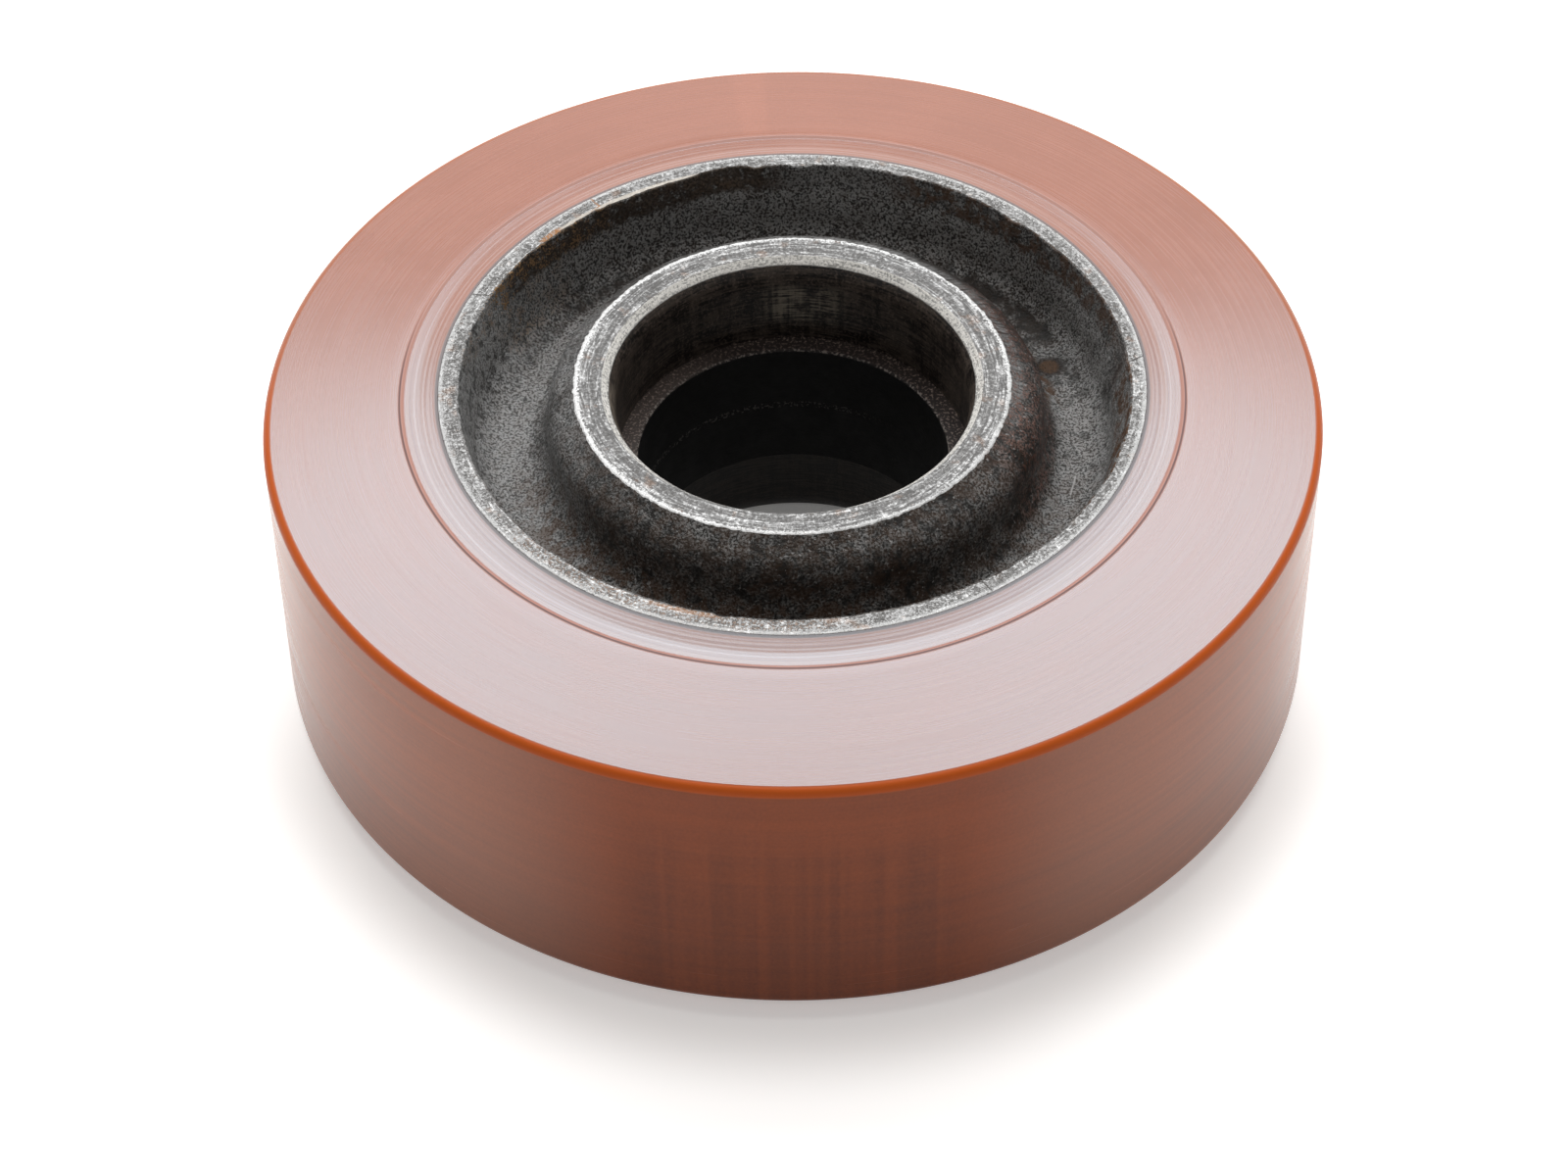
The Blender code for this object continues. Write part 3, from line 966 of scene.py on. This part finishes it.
def tyre_corners(tyre, bond):
    """Upper half of the tyre as corners, with the tool's ridges in its band."""
    edge = TYRE_BOX[1].z
    band = edge - tyre.slope_drop
    slope_end = bond + tyre.slope_width
    flat_end = slope_end + tyre.flat_width
    step_top = band + tyre.step
    corners = [(bond, 0, 0, 0, 1, SIDE), (bond, edge, 0, 0, 0.012, SIDE)]
    ridges = int(tyre.slope_width / tyre.ridge_pitch)
    for ridge in range(ridges):
        for part, lift in ((0.35, 0.0), (0.7, 1.0), (1.0, 0.0)):
            share_along = (ridge + part) / ridges
            corners.append((
                bond + tyre.slope_width * share_along,
                edge - tyre.slope_drop * share_along + tyre.ridge_height * lift, 0, 0, 1, SIDE,
            ))
    corners += [
        (slope_end + RISE_REACH, band - tyre.ridge_height, 0, 0, 1, SIDE),
        (flat_end - RISE_REACH, band - FLAT_FALL, 0, 0, 1, SIDE),
        (flat_end - RISE_REACH + RISE_LEDGE, band - FLAT_FALL, 0, 0, 1, SIDE),
        (flat_end + RISE_REACH, step_top, 0, 0, 1, SIDE),
        (flat_end + RISE_REACH + RISE_LEDGE, step_top, 0, 0, 1, SIDE),
        (tyre.diameter / 2, tyre.width / 2, tyre.corner_radius, 8, 0.002, SIDE),
        (tyre.diameter / 2, 0, 0, 0, 0.005, TREAD),
    ]
    return corners


def make_tread_tyre(tyre, hub):
    """The dressed tyre, with its side and its rolling surface in finishes of their own."""
    bond = hub.rim_diameter / 2 + BOND_CLEARANCE
    lip = tyre.diameter / 2 - tyre.corner_radius * 0.85
    upper = [(r, z, TREAD if r > lip else finish) for r, z, finish in outline(tyre_corners(tyre, bond))]
    finishes = [tyre_side_finish(tyre), tyre_tread_finish(tyre)]
    piece = turned_piece("tread_tyre", mirrored(upper), tyre.facets, finishes, math.radians(40))
    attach(piece, "root")
    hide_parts("tread")
    return piece


# Stage


def make_floor(stage):
    """A round floor, level with the lower faces of the hub."""
    rings = 24
    radius = 2.5
    level = HUB_BOX[0].z
    points = [(0, 0, level)]
    points += [
        (radius * math.cos(math.tau * step / rings), radius * math.sin(math.tau * step / rings), level)
        for step in range(rings)
    ]
    mesh = bpy.data.meshes.new("floor")
    mesh.from_pydata(points, [], [(0, 1 + step, 1 + (step + 1) % rings) for step in range(rings)])
    mesh.materials.append(floor_finish(stage))
    floor = bpy.data.objects.new("floor", mesh)
    bpy.context.scene.collection.objects.link(floor)
    return floor


def area_light(name, azimuth, elevation, distance, size, radiance, tint):
    """A soft rectangular light that faces the wheel from a direction."""
    light = bpy.data.lights.new(name, "AREA")
    light.shape = "RECTANGLE"
    light.size, light.size_y = size
    light.energy = radiance * math.pi * size[0] * size[1]
    light.color = tint
    lamp = bpy.data.objects.new(name, light)
    turn, rise = math.radians(azimuth), math.radians(elevation)
    direction = Vector((math.cos(turn) * math.cos(rise), math.sin(turn) * math.cos(rise), math.sin(rise)))
    lamp.location = direction * distance
    lamp.rotation_euler = (-direction).to_track_quat("-Z", "Y").to_euler()
    bpy.context.scene.collection.objects.link(lamp)
    return lamp


def make_world(stage):
    """White walls low down for the camera and reflections, dim above, and an even ambient light."""
    world = bpy.data.worlds.new("studio")
    world.use_nodes = True
    room = Finish(world.node_tree)
    background = world.node_tree.nodes["Background"]
    direction = room.add("ShaderNodeTexCoord", None, None, "Generated")
    height = room.parts(direction)[2]
    walls = height.ramp(0.30, 0.60, 1.0, 0.12)
    seen = room.seen()
    strength = seen * walls + (1 - seen) * stage.ambient
    room.tree.links.new(strength.socket, background.inputs["Strength"])
    background.inputs["Color"].default_value = (1, 1, 1, 1)
    bpy.context.scene.world = world


def make_camera(stage):
    """The camera, where the photo was taken from."""
    camera = bpy.data.objects.new("camera", bpy.data.cameras.new("camera"))
    camera.data.lens = stage.lens
    camera.data.sensor_width = 36
    camera.location = stage.camera_place
    camera.rotation_euler = Euler(stage.camera_turn)
    bpy.context.scene.collection.objects.link(camera)
    bpy.context.scene.camera = camera


# Operators and panel


class WHEEL_OT_hub_casting(Operator):
    """Build the dressed iron casting and hide the plain one"""

    bl_idname = "wheel.hub_casting"
    bl_label = "Hub casting"

    def execute(self, context):
        make_hub_casting(context.scene.wheel_hub)
        return {"FINISHED"}


class WHEEL_OT_tread_tyre(Operator):
    """Build the dressed polyurethane tyre and hide the plain one"""

    bl_idname = "wheel.tread_tyre"
    bl_label = "Tyre"

    def execute(self, context):
        make_tread_tyre(context.scene.wheel_tyre, context.scene.wheel_hub)
        return {"FINISHED"}


class WHEEL_OT_stage(Operator):
    """Build the floor, the lights, the surroundings and the camera"""

    bl_idname = "wheel.stage"
    bl_label = "Floor, lights and camera"

    def execute(self, context):
        stage = context.scene.wheel_stage
        make_floor(stage)
        area_light("softbox", 90, 56, 1.0, (1.20, 0.60), stage.softbox, (0.97, 0.985, 1.0))
        area_light("overhead", 90, 89, 1.0, (0.80, 0.50), stage.overhead, (1.0, 0.98, 0.96))
        make_world(stage)
        make_camera(stage)
        context.scene.view_settings.view_transform = "Standard"
        return {"FINISHED"}


class VIEW3D_PT_wheel(Panel):
    """Sizes, colours and steps of the wheel"""

    bl_label = "Polyurethane wheel"
    bl_space_type = "VIEW_3D"
    bl_region_type = "UI"
    bl_category = "Wheel"

    def draw(self, context):
        scene = context.scene
        for settings, operator in (
            (scene.wheel_hub, WHEEL_OT_hub_casting),
            (scene.wheel_tyre, WHEEL_OT_tread_tyre),
            (scene.wheel_stage, WHEEL_OT_stage),
        ):
            box = self.layout.box()
            for name in settings.__annotations__:
                box.prop(settings, name)
            box.operator(operator.bl_idname)


CLASSES = (
    HubSettings, TyreSettings, StageSettings,
    WHEEL_OT_hub_casting, WHEEL_OT_tread_tyre, WHEEL_OT_stage, VIEW3D_PT_wheel,
)


def register():
    for item in CLASSES:
        bpy.utils.register_class(item)
    bpy.types.Scene.wheel_hub = PointerProperty(type=HubSettings)
    bpy.types.Scene.wheel_tyre = PointerProperty(type=TyreSettings)
    bpy.types.Scene.wheel_stage = PointerProperty(type=StageSettings)


def unregister():
    del bpy.types.Scene.wheel_stage
    del bpy.types.Scene.wheel_tyre
    del bpy.types.Scene.wheel_hub
    for item in reversed(CLASSES):
        bpy.utils.unregister_class(item)


def main():
    register()
    bpy.ops.wheel.hub_casting()
    bpy.ops.wheel.tread_tyre()
    bpy.ops.wheel.stage()


if __name__ == "__main__":
    main()
